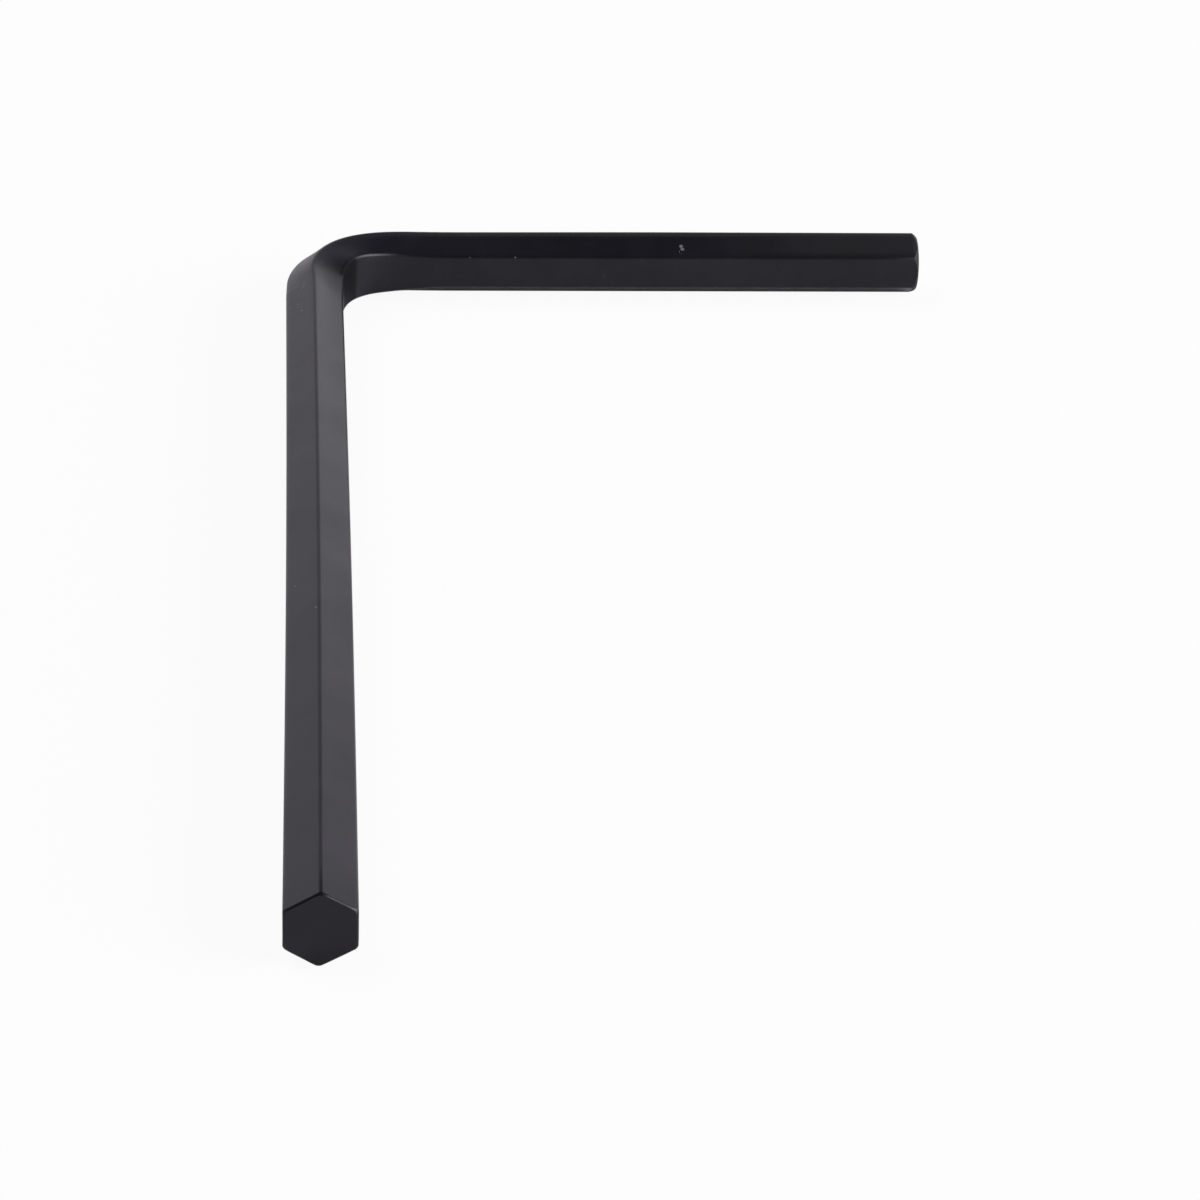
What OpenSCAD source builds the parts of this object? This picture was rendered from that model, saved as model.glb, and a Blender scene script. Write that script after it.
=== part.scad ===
// Hex key: one length of hexagon bar, bent once into a long and a short arm.
// It lies flat, on the rounded edge under each arm, with the long arm along -Y from the bend
// and the short arm along +X. The origin is at the centre of the box it fills, on the table.

/* [Bar] */
// Width across two opposite flats, the size of screw socket that the key fits
across_flats = 4; // [2:0.5:10]
// Radius of the six rounded edges that run along the bar
edge_radius = 0.3; // [0.1:0.05:0.5]

/* [Arms] */
// Long arm, from its end to the outside of the short arm
long_arm = 96; // [60:1:200]
// Short arm, from its end to the outside of the long arm
short_arm = 46; // [30:1:100]

/* [Bend] */
// Radius of the flat on the inside of the bend
inner_bend_radius = 5; // [2:0.2:12]

/* [Ends] */
// How far the cone at the long arm's end cuts back along the hexagon's edges
long_end_chamfer = 0.15; // [0.1:0.05:0.6]
// How far the cone at the short arm's end cuts back along the hexagon's edges
short_end_chamfer = 0.4; // [0.1:0.05:0.6]

/* [Hidden] */
$fn = 64;

// Bar section: the rounded edges' distance from the bar's axis to their centres, and to their crests.
// The arcs rise a hair above the flats beside them, so that the two cross and don't only touch.
edge_rise = 0.001;
edge_centre = (across_flats / 2 - edge_radius) / cos(30);
edge_reach = edge_centre + edge_radius + edge_rise;

// Bend: radius at the bar's axis, and how far the bend takes up of each arm's overall length
bend_radius = inner_bend_radius + across_flats / 2;
bend_reach = bend_radius + across_flats / 2;

// Centre of the bend, measured from the middle of the key's box
bend_centre = [bend_reach - short_arm / 2, long_arm / 2 - bend_reach, edge_reach];

// How far a cutter stands past the faces that it trims
cutter_margin = 0.2;

function polar(radius, angle) = radius * [cos(angle), sin(angle)];

// Hexagon with flats to the left and right, and a rounded edge at each corner. The polygon runs
// along the flats, and between them in to the centre of the circle that rounds the corner.
module bar_section() {
    corner_angles = [30:60:330];
    polygon([
        for (angle = corner_angles)
            for (step = [polar(edge_radius, angle - 30), [0, 0], polar(edge_radius, angle + 30)])
                polar(edge_centre, angle) + step
    ]);
    for (angle = corner_angles)
        rotate(angle) translate([edge_centre, 0]) rotate(180) circle(r = edge_radius + edge_rise);
}

// Ring with a 45 degree inner cone. Set on a bar's end, it takes the given depth off the corners
// and less or nothing off the middle of each flat, as a turned chamfer does.
module chamfer_ring(depth) {
    rotate_extrude()
        polygon([
            [edge_reach - depth - cutter_margin, cutter_margin],
            [edge_reach + cutter_margin, -depth - cutter_margin],
            [edge_reach + cutter_margin, cutter_margin]
        ]);
}

// Straight arm along +Z, from the bend to its chamfered end
module straight_arm(overall_length, chamfer) {
    straight_length = overall_length - bend_reach;
    difference() {
        linear_extrude(straight_length) bar_section();
        translate([0, 0, straight_length]) chamfer_ring(chamfer);
    }
}

// Quarter turn that leads from the long arm into the short one
module bend() {
    rotate([0, 0, 90])
        rotate_extrude(angle = 90)
            translate([bend_radius, 0]) bar_section();
}

module hex_key() {
    color("#3a3a3e")
        translate(bend_centre) {
            bend();
            translate([-bend_radius, 0, 0]) rotate([90, 0, 0]) straight_arm(long_arm, long_end_chamfer);
            translate([0, bend_radius, 0]) rotate([90, 0, 90]) straight_arm(short_arm, short_end_chamfer);
        }
}

hex_key();
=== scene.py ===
import bpy
import math
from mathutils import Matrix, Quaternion, Vector


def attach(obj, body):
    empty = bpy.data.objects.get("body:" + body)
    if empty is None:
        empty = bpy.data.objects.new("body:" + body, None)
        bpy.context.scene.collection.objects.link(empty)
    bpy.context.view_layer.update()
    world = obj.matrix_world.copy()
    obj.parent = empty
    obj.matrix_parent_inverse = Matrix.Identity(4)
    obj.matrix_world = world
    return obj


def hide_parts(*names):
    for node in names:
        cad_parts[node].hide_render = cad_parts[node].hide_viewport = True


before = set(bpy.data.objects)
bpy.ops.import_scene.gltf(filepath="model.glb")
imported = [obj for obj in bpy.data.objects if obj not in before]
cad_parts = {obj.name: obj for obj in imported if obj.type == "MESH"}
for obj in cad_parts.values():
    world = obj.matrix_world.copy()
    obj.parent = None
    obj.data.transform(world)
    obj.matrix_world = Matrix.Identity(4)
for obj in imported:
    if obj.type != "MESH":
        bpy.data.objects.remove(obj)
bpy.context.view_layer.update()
print("frame loaded")

mm = 0.001
hair = 0.001 * mm      # points this close to a plane count as on it
large = 1 / mm         # enlarged by this, a piece has 1 unit for each millimetre


def hexToLinear(code):
    # sRGB hex to the linear values that Blender's sockets want
    values = [int(code[i:i + 2], 16) / 255 for i in (1, 3, 5)]
    return tuple(v / 12.92 if v <= 0.04045 else ((v + 0.055) / 1.055) ** 2.4 for v in values) + (1.0,)


def addNode(tree, kind, settings=None, **links):
    # One shader node with its settings. Each link names an input, or gives its number as in0, and
    # feeds it a value, an output, or a node, which stands for that node's first output.
    node = tree.nodes.new("ShaderNode" + kind)
    for name, value in (settings or {}).items():
        setattr(node, name, value)
    for name, value in links.items():
        numbered = name.startswith("in") and name[2:].isdigit()
        socket = node.inputs[int(name[2:]) if numbered else name.replace("_", " ")]
        if isinstance(value, bpy.types.Node):
            value = value.outputs[0]
        if isinstance(value, bpy.types.NodeSocket):
            tree.links.new(value, socket)
        else:
            socket.default_value = value
    return node


def deselectAll():
    if bpy.context.object and bpy.context.object.mode != "OBJECT":
        bpy.ops.object.mode_set(mode="OBJECT")
    bpy.ops.object.select_all(action="DESELECT")


def pickVerts(piece, test):
    # selects the vertices whose place passes the test, and stays in edit mode
    bpy.ops.object.mode_set(mode="EDIT")
    bpy.ops.mesh.select_mode(type="VERT")
    bpy.ops.mesh.select_all(action="DESELECT")
    bpy.ops.object.mode_set(mode="OBJECT")
    for vertex in piece.data.vertices:
        vertex.select = test(vertex.co)
    bpy.ops.object.mode_set(mode="EDIT")


def resizeAll(factor):
    # in edit mode; the bevel and the boolean need this, as they lose details under 0.1 mm
    bpy.ops.mesh.select_all(action="SELECT")
    bpy.ops.transform.resize(value=(factor, factor, factor), center_override=(0, 0, 0))
    bpy.ops.mesh.select_all(action="DESELECT")


def smoothStep(value):
    value = min(max(value, 0.0), 1.0)
    return value * value * (3 - 2 * value)


view = dict(
    place=(-21.905 * mm, -234.286 * mm, 114.310 * mm),
    aim=(-2.605 * mm, 5.683 * mm, -5.209 * mm),
    roll=1.889,        # degrees, right side up
    lens=124.01,       # focal length in mm, on a sensor 36 mm wide
)


def setCamera(v):
    cameraData = bpy.data.cameras.new("camera")
    cameraData.lens = v["lens"]
    cameraData.sensor_width = 36
    cameraData.clip_start = 0.01
    camera = bpy.data.objects.new("camera", cameraData)
    bpy.context.scene.collection.objects.link(camera)
    place, aim = Vector(v["place"]), Vector(v["aim"])
    turn = (aim - place).to_track_quat("-Z", "Y") @ Quaternion((0, 0, 1), math.radians(v["roll"]))
    camera.rotation_mode = "QUATERNION"
    camera.rotation_quaternion = turn
    camera.location = place
    bpy.context.scene.camera = camera


setCamera(view)
print("camera set")

key = dict(
    flatToFlat=4.0 * mm,
    longArm=96.0 * mm,           # overall
    shortArm=46.0 * mm,
    crest=2.263 * mm,            # axis to the top of a rounded edge
    axisHeight=2.264 * mm,
    bendRadius=7.0 * mm,         # at the bar's axis

    cornerTrim=0.155 * mm,       # where each rounded edge starts on its flats
    cornerSteps=5,
    flatCuts=5,
    longSteps=26,
    nearBend=9.0 * mm,           # stretch of each arm that is divided finely, beside the bend
    nearSteps=18,
    bendSteps=48,
    shortSteps=10,
    smoothUnder=28.0,            # degrees between faces that are shaded as one

    longChamfer=0.15 * mm,
    shortChamfer=0.34 * mm,
    longRim=0.105 * mm,          # least cut along the ends' edges
    shortRim=0.09 * mm,
    rimSoftening=0.03 * mm,

    squeeze=0.5,                 # how strongly the section gives way in the bend, 0.5 keeps the volume
    innerSwell=1.75,             # how much more than that the inside swells
    squeezeReach=3.0 * mm,       # how far into the arms that goes on
    tightening=0.28 * mm,        # how much tighter than a circle the bend's middle is
    ridgeRise=0.09 * mm,         # how far the upper ridge stands up there
    bulge=0.36 * mm,             # how far the metal wells up at the inner upper corner
    bulgeFrom=5.0,               # degrees round the bend from the long arm
    bulgeTop=34.0,
    bulgeTo=80.0,
    bulgeBelow=0.6 * mm,         # how far under the axis the welling starts
    bulgeHeight=1.75 * mm,       # and how much higher it is complete
    shortLift=0.06 * mm,         # how much higher the upper ridge is towards the short end
    liftReach=20.0 * mm,         # from the bend to where it is that high
    endLean=0.12 * mm,           # how far the long end's lowest corner is dragged outwards by the cut
    leanReach=4.0 * mm,          # how far from the end that starts
    bow=0.10 * mm,               # the long arm's slight curve towards +X
)
key.update(
    longEnd=-key["longArm"] / 2,                              # Y of the long arm's end
    shortEnd=key["shortArm"] / 2,                             # X of the short arm's end
    longAxis=(key["flatToFlat"] - key["shortArm"]) / 2,       # X of the long arm's axis
    shortAxis=(key["longArm"] - key["flatToFlat"]) / 2,       # Y of the short arm's axis
)
key.update(
    bendX=key["longAxis"] + key["bendRadius"],                # centre of the bend
    bendY=key["shortAxis"] - key["bendRadius"],
)
key.update(
    bendStart=key["bendY"] - key["longEnd"],                  # along the bar from the long end
    bendLength=key["bendRadius"] * math.pi / 2,
)


def barPlace(k, co):
    # where a point lies in the bar: outwards from the axis, up, and along from the long arm's end
    up = co.z - k["axisHeight"]
    if co.y <= k["bendY"]:
        return k["longAxis"] - co.x, up, co.y - k["longEnd"]
    if co.x >= k["bendX"]:
        return co.y - k["shortAxis"], up, k["bendStart"] + k["bendLength"] + co.x - k["bendX"]
    dx, dy = co.x - k["bendX"], co.y - k["bendY"]
    return math.hypot(dx, dy) - k["bendRadius"], up, k["bendStart"] + k["bendRadius"] * math.atan2(dy, -dx)


def fromBar(k, out, up, along):
    # the other way round, from a place in the bar to a point
    z = k["axisHeight"] + up
    if along <= k["bendStart"]:
        return Vector((k["longAxis"] - out, k["longEnd"] + along, z))
    angle = (along - k["bendStart"]) / k["bendRadius"]
    if angle >= math.pi / 2:
        return Vector((k["bendX"] + along - k["bendStart"] - k["bendLength"], k["shortAxis"] + out, z))
    reach = k["bendRadius"] + out
    return Vector((k["bendX"] - reach * math.cos(angle), k["bendY"] + reach * math.sin(angle), z))


def buildKey(k):
    deselectAll()
    bpy.ops.mesh.primitive_circle_add(
        vertices=6, radius=k["flatToFlat"] / 2 / math.cos(math.radians(30)), fill_type="NOTHING",
        enter_editmode=False, location=(k["longAxis"], k["longEnd"], k["axisHeight"]),
        rotation=(math.radians(90), 0, 0))
    piece = bpy.context.object
    piece.name = piece.data.name = "bent_hexagon_bar"
    bpy.ops.object.transform_apply(location=True, rotation=True, scale=True)

    # section: rounded corners, then flats with a few points across
    bpy.ops.object.mode_set(mode="EDIT")
    bpy.ops.mesh.select_all(action="SELECT")
    bpy.ops.mesh.bevel(offset=k["cornerTrim"], segments=k["cornerSteps"], profile=0.5, affect="VERTICES")
    bpy.ops.mesh.select_mode(type="EDGE")
    bpy.ops.mesh.select_all(action="DESELECT")
    bpy.ops.object.mode_set(mode="OBJECT")
    mesh = piece.data
    for edge in mesh.edges:
        start, end = (mesh.vertices[index].co for index in edge.vertices)
        edge.select = (end - start).length > k["flatToFlat"] / 4      # a flat, not a step of a corner
    bpy.ops.object.mode_set(mode="EDIT")
    bpy.ops.mesh.subdivide(number_cuts=k["flatCuts"])

    # long arm, bend and short arm, drawn out from the section one after the other
    bpy.ops.mesh.select_all(action="SELECT")
    nearStep = k["nearBend"] / k["nearSteps"]
    longStep = (k["bendY"] - k["longEnd"] - k["nearBend"]) / k["longSteps"]
    for step in [longStep] * k["longSteps"] + [nearStep] * k["nearSteps"]:
        bpy.ops.mesh.extrude_region_move(TRANSFORM_OT_translate={"value": (0, step, 0)})
    bpy.ops.mesh.spin(steps=k["bendSteps"], angle=math.radians(90),
                      center=(k["bendX"], k["bendY"], k["axisHeight"]), axis=(0, 0, 1))
    shortStep = (k["shortEnd"] - k["bendX"] - k["nearBend"]) / k["shortSteps"]
    for step in [nearStep] * k["nearSteps"] + [shortStep] * k["shortSteps"]:
        bpy.ops.mesh.extrude_region_move(TRANSFORM_OT_translate={"value": (step, 0, 0)})
    bpy.ops.object.mode_set(mode="OBJECT")
    return piece


def giveWayInBend(piece, k):
    # Bent cold, the bar keeps its volume: the outer half gets narrower and flatter, the inner half
    # swells, and the upper and lower ridges move outwards. The arms' small departures are here too.
    for vertex in piece.data.vertices:
        out, up, along = barPlace(k, vertex.co)
        past = along - k["bendStart"]
        left = k["bendLength"] - past
        onUpperRidge = max(up / k["crest"], 0.0) ** 3
        onLowerRidge = max(-up / k["crest"], 0.0) ** 3

        inBend = smoothStep((min(past, left) + k["squeezeReach"]) / (2 * k["squeezeReach"]))
        give = k["squeeze"] * inBend / k["bendRadius"]
        newOut = out - give * (out * out - up * up) / 2
        newUp = up * (1 - give * out * (k["innerSwell"] if out < 0 else 1.0))

        middle = math.sin(2 * min(max(past, 0.0) / k["bendRadius"], math.pi / 2)) ** 2
        newOut += k["tightening"] * middle
        newUp += k["ridgeRise"] * middle * onUpperRidge

        angle = math.degrees(past / k["bendRadius"])
        swell = min(smoothStep((angle - k["bulgeFrom"]) / (k["bulgeTop"] - k["bulgeFrom"])),
                    smoothStep((k["bulgeTo"] - angle) / (k["bulgeTo"] - k["bulgeTop"])))
        inward = min(max(-out / (k["flatToFlat"] / 2), 0.0), 1.0) ** 1.5
        newUp += k["bulge"] * swell * inward * smoothStep((up + k["bulgeBelow"]) / k["bulgeHeight"])

        newUp += k["shortLift"] * smoothStep(-left / k["liftReach"]) * onUpperRidge
        newOut += k["endLean"] * smoothStep(1 - along / k["leanReach"]) * onLowerRidge
        newOut -= k["bow"] * math.sin(math.pi * min(along / k["bendStart"], 1.0))
        vertex.co = fromBar(k, newOut, newUp, along)


def turnChamfer(piece, k, centre, axis, depth, rim):
    # The end's ring is drawn back as a 45 degree cone, deepest at the corners, and a second ring
    # closes the flat end face. Both rims are then rounded a little, as on a tumbled edge.
    circle = k["crest"] - depth
    pickVerts(piece, lambda co: abs((co - centre).dot(axis)) < hair)
    bpy.ops.mesh.select_mode(type="EDGE")
    bpy.ops.object.mode_set(mode="OBJECT")
    outer = {v.index for v in piece.data.vertices if v.select}
    bpy.ops.object.mode_set(mode="EDIT")
    bpy.ops.mesh.extrude_region_move(TRANSFORM_OT_translate={"value": (0, 0, 0)})
    bpy.ops.mesh.edge_face_add()
    bpy.ops.object.mode_set(mode="OBJECT")
    inner = {v.index for v in piece.data.vertices if v.select}
    for ring in (outer, inner):
        for index in ring:
            vertex = piece.data.vertices[index]
            off = vertex.co - centre
            cut = max(off.length - circle, rim)
            vertex.co -= cut * (axis if ring is outer else off.normalized())
    bpy.ops.object.mode_set(mode="EDIT")
    bpy.ops.mesh.select_all(action="SELECT")
    bpy.ops.mesh.normals_make_consistent(inside=False)      # the bevel needs faces that agree
    resizeAll(large)
    bpy.ops.object.mode_set(mode="OBJECT")
    for edge in piece.data.edges:
        ends = set(edge.vertices)
        edge.select = ends <= outer or ends <= inner
    bpy.ops.object.mode_set(mode="EDIT")
    bpy.ops.mesh.bevel(offset=k["rimSoftening"] * large, segments=2, affect="EDGES")
    resizeAll(1 / large)


nick = dict(
    # sizes and places are in mm
    bare=[(5.600, 44.893, 3.934), (5.688, 44.670, 3.805)],      # the chip's bare steel
    bareReach=0.15,
    place=(5.547, 44.382, 3.639),          # the gouge under it
    lift=0.06,                             # of the cutter over the flat, so that it only scoops
    direction=(0.146, -0.622, -0.36),      # down the flat, a little towards the tip
    length=0.42,
    width=0.24,
    joinUnder=0.006,                       # points closer than this after the cut are joined
    dissolveUnder=0.004,                   # and edges shorter than this are dissolved
    steelColour="#cacaca",                 # bare steel
    steelRoughness=0.4,
)


def cutNick(piece, n):
    # a small gouge in the short arm's inner upper flat, cut while the piece is enlarged
    bpy.ops.object.mode_set(mode="EDIT")
    resizeAll(large)
    deselectAll()
    upperFlat = Vector((0, -0.5, 0.866))      # the way it faces
    bpy.ops.mesh.primitive_ico_sphere_add(subdivisions=3, radius=n["length"] / 2,
                                          location=Vector(n["place"]) + n["lift"] * upperFlat)
    cutter = bpy.context.object
    cutter.rotation_mode = "QUATERNION"
    cutter.rotation_quaternion = Vector(n["direction"]).to_track_quat("X", "Z")
    cutter.scale = (1.0, n["width"] / n["length"], n["width"] / n["length"])
    bpy.ops.object.transform_apply(location=True, rotation=True, scale=True)
    deselectAll()
    piece.select_set(True)
    bpy.context.view_layer.objects.active = piece
    carve = piece.modifiers.new("nick", "BOOLEAN")
    carve.object = cutter
    carve.operation = "DIFFERENCE"
    carve.solver = "EXACT"
    bpy.ops.object.modifier_apply(modifier=carve.name)
    bpy.data.objects.remove(cutter)
    bpy.ops.object.mode_set(mode="EDIT")
    bpy.ops.mesh.select_all(action="SELECT")
    bpy.ops.mesh.remove_doubles(threshold=n["joinUnder"])
    bpy.ops.mesh.dissolve_degenerate(threshold=n["dissolveUnder"])
    resizeAll(1 / large)
    bpy.ops.object.mode_set(mode="OBJECT")


def finishKey(piece, k, n):
    giveWayInBend(piece, k)
    longEnd = Vector((k["longAxis"], k["longEnd"], k["axisHeight"]))
    shortEnd = Vector((k["shortEnd"], k["shortAxis"], k["axisHeight"]))
    turnChamfer(piece, k, longEnd, Vector((0, -1, 0)), k["longChamfer"], k["longRim"])
    turnChamfer(piece, k, shortEnd, Vector((1, 0, 0)), k["shortChamfer"], k["shortRim"])
    bpy.ops.mesh.select_all(action="SELECT")
    bpy.ops.mesh.normals_make_consistent(inside=False)
    bpy.ops.object.mode_set(mode="OBJECT")
    cutNick(piece, n)
    bpy.ops.object.shade_smooth_by_angle(angle=math.radians(k["smoothUnder"]))
    even = piece.modifiers.new("even_flats", "WEIGHTED_NORMAL")
    even.keep_sharp = True
    bpy.ops.object.modifier_apply(modifier=even.name)
    # each point's place in the bar, so that the drawing lines, the scuffs, the painted sheen and the painted
    # shade follow it round the bend
    places = piece.data.attributes.new("barPlace", "FLOAT_VECTOR", "POINT")
    for vertex, place in zip(piece.data.vertices, places.data):
        place.vector = barPlace(k, vertex.co)


hexKey = buildKey(key)
finishKey(hexKey, key, nick)
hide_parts("hex_key")
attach(hexKey, "root")
print("hex key modelled,", len(hexKey.data.polygons), "faces")


oxide = dict(
    # Sizes and places are in mm. A range is the two levels of the noise between which a mark sets
    # in. Each limit is a direction in the bar (X out from its axis, Y up, Z along from the long
    # end), and the mm there at which the mark is absent, and at which it is full.
    colour="#0b0911",
    paleColour="#181620",
    mottle=5.0,               # across one cloud of the blackening
    mottleRange=(0.35, 0.70),
    roughness=0.30,
    specular=0.34,
    cloudShine=0.10,          # how much less rough the palest clouds are than the darkest
    grain=0.12,               # across one grain of the tumbled surface
    grainRoughness=0.08,
    drawLine=0.16,            # between drawing lines
    drawSquash=0.02,          # of the noise along the bar, which draws it out into lines
    lineHeight=0.8,           # of the drawing lines, to the grain's 1
    relief=0.25,              # how strongly both show
    reliefHeight=0.004,

    rubbed="#3c3c39",         # painted sheen: a paler colour that stands in for light caught on the short arm's upper side
    rubbedLimits=[("Y", 1.15, 1.45), ("Z", 92.0, 102.0)],
    ridgeHighlight=0.6,             # how strongly painted highlight lightens the short arm's upper ridge
    ridgeWidth=(0.12, 0.45),  # from its middle to where that starts to fade, and where it is gone
    tipSheen=0.24,              # how strongly painted sheen lightens its upper flats, towards the tip
    sheenFrom=118.0,            # along the bar from the long end
    sheenTo=129.0,

    # pale colour of the specks, and of the scuffs with their painted highlight
    speckAndHighlightColour="#77777a",
    speckSize=0.09,
    specks=[(-21.912, 32.323, 4.047), (-22.378, -10.286, 3.778), (-21.132, -14.564, 4.497),
            (-9.761, 43.961, 3.396), (-6.477, 43.981, 3.407)],
    dust=0.30,                # across the finest specks
    dustRange=(0.72, 0.78),
    dustShare=0.05,
    scuffAndHighlightSize=0.30,               # across a scuff and painted highlight mark
    scuffAndHighlightSquash=0.35,         # of the noise along the bar, so a mark is longer than it is wide
    scuffAndHighlightRange=(0.58, 0.72),
    scuffAndHighlightShare=0.50,
    scuffAndHighlightLimits=[("X", 0.5, 1.1), ("Z", 79.0, 83.0), ("Z", 92.0, 88.0)],      # outside the bend

    turned=0.22,              # how much rougher the short end is, where it was turned
    turnedLimits=[("Z", 134.56, 134.66)],
    bendShade="#08070b",           # painted shade: a darker, duller sheet inside the bend, beside the long arm, where shade falls
    bendShadeRoughness=0.6,
    bendShadeSpecular=0.12,
    bendShadeShare=0.9,
    bendShadeLimits=[("X", -1.65, -1.82), ("Z", 87.5, 88.3), ("Z", 92.05, 91.55)],
)


def perMetre(size):
    # noise scale that gives patches of about this many millimetres
    return 1.0 / (size * mm)


def nearPlaces(tree, point, places, reach):
    # 1 near one of the places and 0 away from them all, with a soft rim at about the reach; in mm
    rimFrom, rimTo = reach * 0.6, reach * 1.1
    nearest = None
    for place in places:
        away = addNode(tree, "VectorMath", {"operation": "DISTANCE"}, in0=point, in1=[v * mm for v in place])
        mark = addNode(tree, "MapRange", Value=away.outputs["Value"], From_Min=rimFrom * mm,
                       From_Max=rimTo * mm, To_Min=1.0, To_Max=0.0)
        if nearest:
            mark = addNode(tree, "Math", {"operation": "MAXIMUM"}, in0=nearest, in1=mark)
        nearest = mark
    return nearest


def withinLimits(tree, bar, limits):
    # 1 where the mark is full by every limit, 0 where it is absent by one, and soft between
    kept = None
    for direction, absentAt, fullAt in limits:
        mark = addNode(tree, "MapRange", Value=bar.outputs[direction], From_Min=absentAt * mm,
                       From_Max=fullAt * mm)
        if kept:
            mark = addNode(tree, "Math", {"operation": "MULTIPLY"}, in0=kept, in1=mark)
        kept = mark
    return kept


def oxideColour(tree, o, point, barPoint, bar, clouds):
    # two near blacks, with the clouds between them
    tone = addNode(tree, "MapRange", Value=clouds, From_Min=o["mottleRange"][0], From_Max=o["mottleRange"][1])
    colour = addNode(tree, "Mix", {"data_type": "RGBA"}, in0=tone,
                     in6=hexToLinear(o["colour"]), in7=hexToLinear(o["paleColour"]))

    # painted highlight on the short arm's upper ridge, and painted sheen on its upper flats towards the tip
    fromRidge = addNode(tree, "Math", {"operation": "ABSOLUTE"}, in0=bar.outputs["X"])
    nearRidge = addNode(tree, "MapRange", Value=fromRidge, From_Min=o["ridgeWidth"][0] * mm,
                        From_Max=o["ridgeWidth"][1] * mm, To_Min=o["ridgeHighlight"], To_Max=0.0)
    nearTip = addNode(tree, "MapRange", {"interpolation_type": "SMOOTHSTEP"}, Value=bar.outputs["Z"],
                      From_Min=o["sheenFrom"] * mm, From_Max=o["sheenTo"] * mm, To_Max=o["tipSheen"])
    mostSheen = addNode(tree, "Math", {"operation": "MAXIMUM"}, in0=nearRidge, in1=nearTip)
    paintedSheenMask = addNode(tree, "Math", {"operation": "MULTIPLY"}, in0=mostSheen,
                   in1=withinLimits(tree, bar, o["rubbedLimits"]))
    colour = addNode(tree, "Mix", {"data_type": "RGBA"}, in0=paintedSheenMask,
                     in6=colour.outputs["Result"], in7=hexToLinear(o["rubbed"]))

    # specks: larger ones at their places, and fine ones all over
    fine = addNode(tree, "TexNoise", Vector=point, Scale=perMetre(o["dust"]), Detail=1.0, Roughness=0.5)
    dust = addNode(tree, "MapRange", Value=fine, From_Min=o["dustRange"][0], From_Max=o["dustRange"][1],
                   To_Max=o["dustShare"])
    specks = addNode(tree, "Math", {"operation": "MAXIMUM"}, in0=dust,
                     in1=nearPlaces(tree, point, o["specks"], o["speckSize"]))

    # scuffs and painted highlight: short pale marks on the outside of the bend, where the bending tool
    # gripped it, made strong enough to also lighten that lit side of the bend
    slid = addNode(tree, "Mapping", Vector=barPoint, Scale=(1.0, 1.0, o["scuffAndHighlightSquash"]))
    marks = addNode(tree, "TexNoise", Vector=slid, Scale=perMetre(o["scuffAndHighlightSize"]), Detail=3.0, Roughness=0.6)
    scuffsAndHighlights = addNode(tree, "MapRange", Value=marks, From_Min=o["scuffAndHighlightRange"][0], From_Max=o["scuffAndHighlightRange"][1],
                     To_Max=o["scuffAndHighlightShare"])
    scuffedAndHighlighted = addNode(tree, "Math", {"operation": "MULTIPLY"}, in0=scuffsAndHighlights,
                      in1=withinLimits(tree, bar, o["scuffAndHighlightLimits"]))
    spotsAndHighlights = addNode(tree, "Math", {"operation": "MAXIMUM"}, in0=specks, in1=scuffedAndHighlighted)
    return addNode(tree, "Mix", {"data_type": "RGBA"}, in0=spotsAndHighlights,
                   in6=colour.outputs["Result"], in7=hexToLinear(o["speckAndHighlightColour"])).outputs["Result"]


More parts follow.
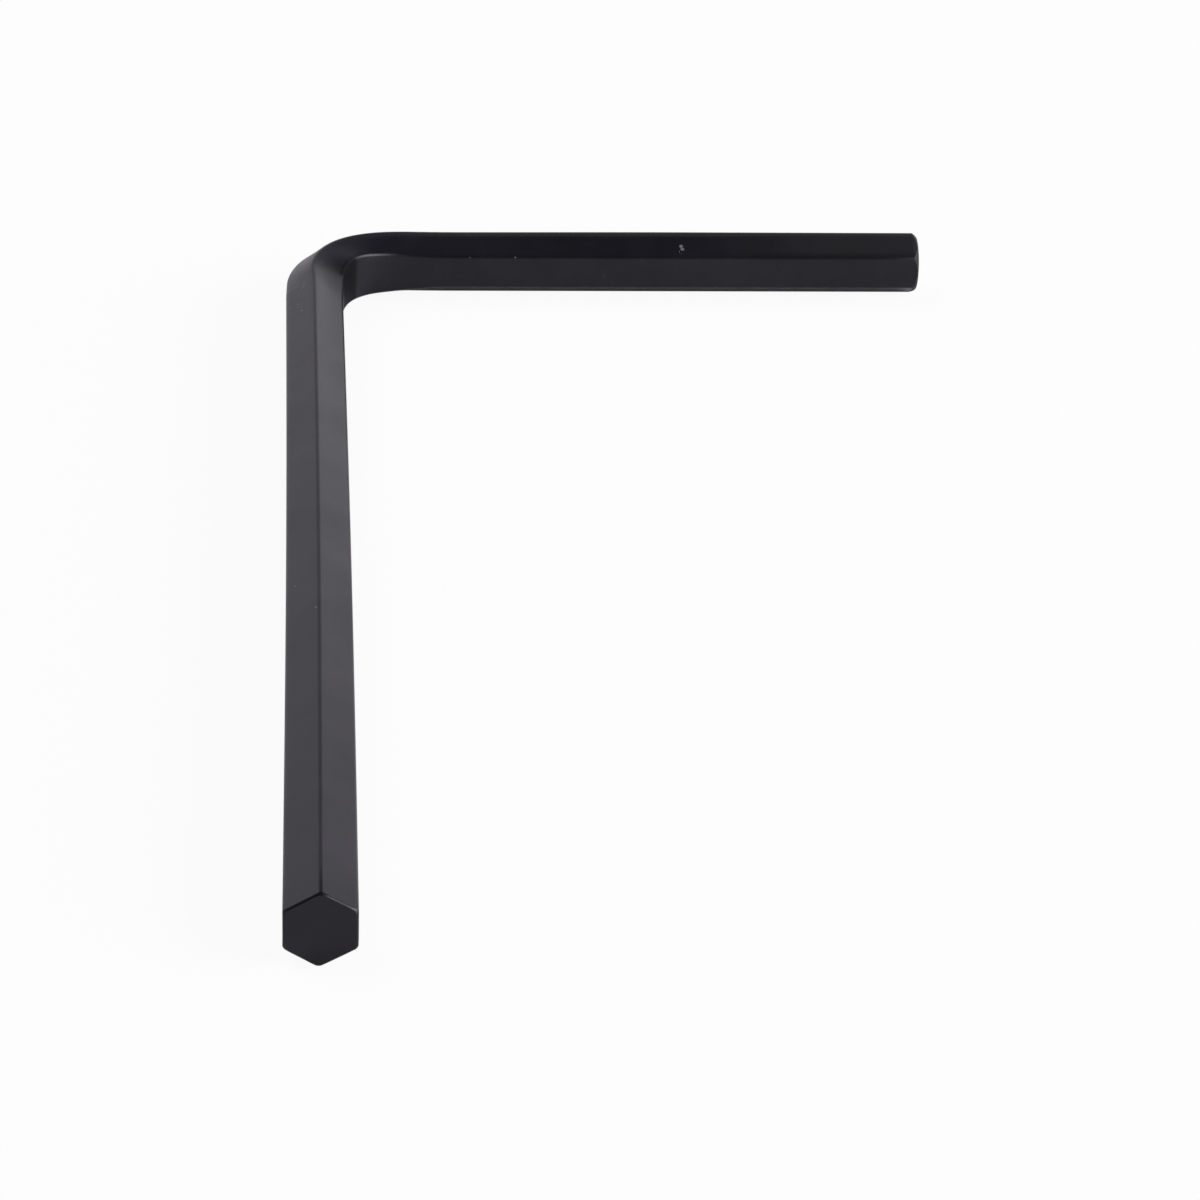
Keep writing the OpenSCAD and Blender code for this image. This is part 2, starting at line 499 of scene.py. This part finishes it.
def blackOxideSteel(o, n):
    # Black oxide on hardened alloy steel, drawn, bent and tumbled: a thin conversion layer, so
    # the eye gets near-black steel with a soft satin sheen, faint lines along the bar, cloudy
    # patches of blackening, fine dust-like specks, pale scuffs that also carry painted highlight,
    # painted highlight and sheen on the short arm's upper side, a painted dark shade inside the bend
    # and one chipped spot of bright steel
    material = bpy.data.materials.new("black_oxide_steel")
    material.use_nodes = True
    tree = material.node_tree
    tree.nodes.clear()
    point = addNode(tree, "TexCoord").outputs["Object"]
    barPoint = addNode(tree, "Attribute", {"attribute_name": "barPlace"}).outputs["Vector"]
    bar = addNode(tree, "SeparateXYZ", Vector=barPoint)
    clouds = addNode(tree, "TexNoise", Vector=point, Scale=perMetre(o["mottle"]), Detail=4.0, Roughness=0.6)
    grain = addNode(tree, "TexNoise", Vector=point, Scale=perMetre(o["grain"]), Detail=2.0, Roughness=0.5)
    colour = oxideColour(tree, o, point, barPoint, bar, clouds)

    # roughness: satin, with a little more shine on the palest clouds, and rougher where turned
    cloudy = addNode(tree, "Math", {"operation": "MULTIPLY_ADD"}, in0=clouds, in1=-o["cloudShine"],
                     in2=o["roughness"] + o["cloudShine"] / 2)
    satin = addNode(tree, "Math", {"operation": "MULTIPLY_ADD"}, in0=grain, in1=o["grainRoughness"],
                    in2=cloudy)
    satin = addNode(tree, "Math", {"operation": "MULTIPLY_ADD"},
                    in0=withinLimits(tree, bar, o["turnedLimits"]), in1=o["turned"], in2=satin)

    # relief: grain and drawing lines
    drawn = addNode(tree, "Mapping", Vector=barPoint, Scale=(1.0, 1.0, o["drawSquash"]))
    lines = addNode(tree, "TexNoise", Vector=drawn, Scale=perMetre(o["drawLine"]), Detail=3.0, Roughness=0.55)
    relief = addNode(tree, "Math", {"operation": "MULTIPLY_ADD"}, in0=lines, in1=o["lineHeight"], in2=grain)
    bump = addNode(tree, "Bump", Height=relief, Strength=o["relief"], Distance=o["reliefHeight"] * mm)
    skin = addNode(tree, "BsdfPrincipled", Base_Color=colour, Roughness=satin, Normal=bump)
    skin.inputs["Specular IOR Level"].default_value = o["specular"]

    # painted shade: a dark, dull sheet inside the bend, where shade falls
    shadedInBend = addNode(tree, "Math", {"operation": "MULTIPLY"}, in0=withinLimits(tree, bar, o["bendShadeLimits"]),
                     in1=o["bendShadeShare"])
    paintedShade = addNode(tree, "BsdfPrincipled", Base_Color=hexToLinear(o["bendShade"]), Roughness=o["bendShadeRoughness"])
    paintedShade.inputs["Specular IOR Level"].default_value = o["bendShadeSpecular"]
    skin = addNode(tree, "MixShader", in0=shadedInBend, in1=skin, in2=paintedShade)

    # the chip: bare steel beside the gouge
    chip = nearPlaces(tree, point, n["bare"], n["bareReach"])
    steel = addNode(tree, "BsdfPrincipled", Base_Color=hexToLinear(n["steelColour"]), Metallic=1.0,
                    Roughness=n["steelRoughness"])
    surface = addNode(tree, "MixShader", in0=chip, in1=skin, in2=steel)
    addNode(tree, "OutputMaterial", Surface=surface)
    return material


hexKey.data.materials.clear()
hexKey.data.materials.append(blackOxideSteel(oxide, nick))
print("finish made")


studio = dict(
    floorColour="#f7f4f9",
    floorSize=4.0,
    whiteSeen=0.93,           # share of plain white that the floor shows to the camera
    whiteInGloss=0.02,        # and in reflections, where the contact shadows have to stay
    room=[(0.0, "#fffdff"), (0.17, "#efecf7"), (0.26, "#c9c6d0"), (0.46, "#c6c3cd"), (0.58, "#706e77"),
          (1.0, "#5a5861")],      # colours from the horizon up, 1 is straight up
    front=0.22,               # how much of that remains on the camera's side
    frontRange=(-0.9, 0.2),   # the direction's Y where that is so, and where all of it is there
    left=0.85,                # how much remains on the left
    right=0.92,               # and on the right
    sideRange=(-0.4, 0.4),    # the direction's X where those two are reached
    backCard=dict(place=(0.16, 0.95, 0.09), size=(0.40, 0.16), radiance=0.9),
    sideBox=dict(place=(0.585, -0.215, 0.26), size=(0.72, 0.44), radiance=6.5),
    fillBox=dict(place=(-0.45, 0.35, 0.75), size=(0.50, 0.50), radiance=3.0),
)


def seenWhite(tree, s):
    # how much plain white a ray sees: most for the camera, some in gloss, none for the light itself
    path = addNode(tree, "LightPath")
    shine = addNode(tree, "Math", {"operation": "MAXIMUM"}, in0=path.outputs["Is Glossy Ray"],
                    in1=path.outputs["Is Transmission Ray"])
    gloss = addNode(tree, "Math", {"operation": "MULTIPLY"}, in0=shine, in1=s["whiteInGloss"])
    return addNode(tree, "Math", {"operation": "MULTIPLY_ADD"}, in0=path.outputs["Is Camera Ray"],
                   in1=s["whiteSeen"], in2=gloss)


def makeFloor(s):
    # matt white paper: an even white with no shine, and a faint shadow where the key touches it
    deselectAll()
    bpy.ops.mesh.primitive_plane_add(size=s["floorSize"], location=(0, 0, 0))
    floor = bpy.context.object
    floor.name = floor.data.name = "floor"
    material = bpy.data.materials.new("matt_white_floor")
    material.use_nodes = True
    tree = material.node_tree
    tree.nodes.clear()
    paint = addNode(tree, "BsdfDiffuse", Color=hexToLinear(s["floorColour"]))
    white = addNode(tree, "Emission", Strength=1.0)
    both = addNode(tree, "MixShader", in0=seenWhite(tree, s), in1=paint, in2=white)
    addNode(tree, "OutputMaterial", Surface=both)
    floor.data.materials.append(material)


def makeWorld(s):
    # a bright band low down all round, as from a white sweep, and a dimmer room overhead
    world = bpy.data.worlds.new("studio")
    bpy.context.scene.world = world
    world.use_nodes = True
    tree = world.node_tree
    tree.nodes.clear()
    direction = addNode(tree, "TexCoord").outputs["Generated"]
    parts = addNode(tree, "SeparateXYZ", Vector=direction)
    ramp = addNode(tree, "ValToRGB", Fac=parts.outputs["Z"])
    stops = ramp.color_ramp.elements
    stops[0].color, stops[1].color = hexToLinear(s["room"][0][1]), hexToLinear(s["room"][-1][1])
    for height, colour in s["room"][1:-1]:
        stops.new(height).color = hexToLinear(colour)
    towards = addNode(tree, "MapRange", {"interpolation_type": "SMOOTHSTEP"}, Value=parts.outputs["Y"],
                      From_Min=s["frontRange"][0], From_Max=s["frontRange"][1], To_Min=s["front"], To_Max=1.0)
    sideways = addNode(tree, "MapRange", {"interpolation_type": "SMOOTHSTEP"}, Value=parts.outputs["X"],
                       From_Min=s["sideRange"][0], From_Max=s["sideRange"][1], To_Min=s["left"],
                       To_Max=s["right"])
    dimming = addNode(tree, "Math", {"operation": "MULTIPLY"}, in0=towards, in1=sideways)
    room = addNode(tree, "Background", Color=ramp, Strength=dimming)
    white = addNode(tree, "Background", Color=(1.0, 1.0, 1.0, 1.0), Strength=1.0)
    path = addNode(tree, "LightPath")
    both = addNode(tree, "MixShader", in0=path.outputs["Is Camera Ray"], in1=room, in2=white)
    addNode(tree, "OutputWorld", Surface=both)


def makeLamp(name, b):
    data = bpy.data.lights.new(name, "AREA")
    data.shape = "RECTANGLE"
    data.size, data.size_y = b["size"]
    data.energy = b["radiance"] * math.pi * b["size"][0] * b["size"][1]      # watts for that radiance
    lamp = bpy.data.objects.new(name, data)
    bpy.context.scene.collection.objects.link(lamp)
    lamp.location = b["place"]
    lamp.rotation_mode = "QUATERNION"
    lamp.rotation_quaternion = (-Vector(b["place"])).to_track_quat("-Z", "Y")


makeFloor(studio)
makeWorld(studio)
makeLamp("back_card", studio["backCard"])
makeLamp("side_softbox", studio["sideBox"])
makeLamp("fill_softbox", studio["fillBox"])
bpy.context.scene.view_settings.view_transform = "Standard"
print("studio set")
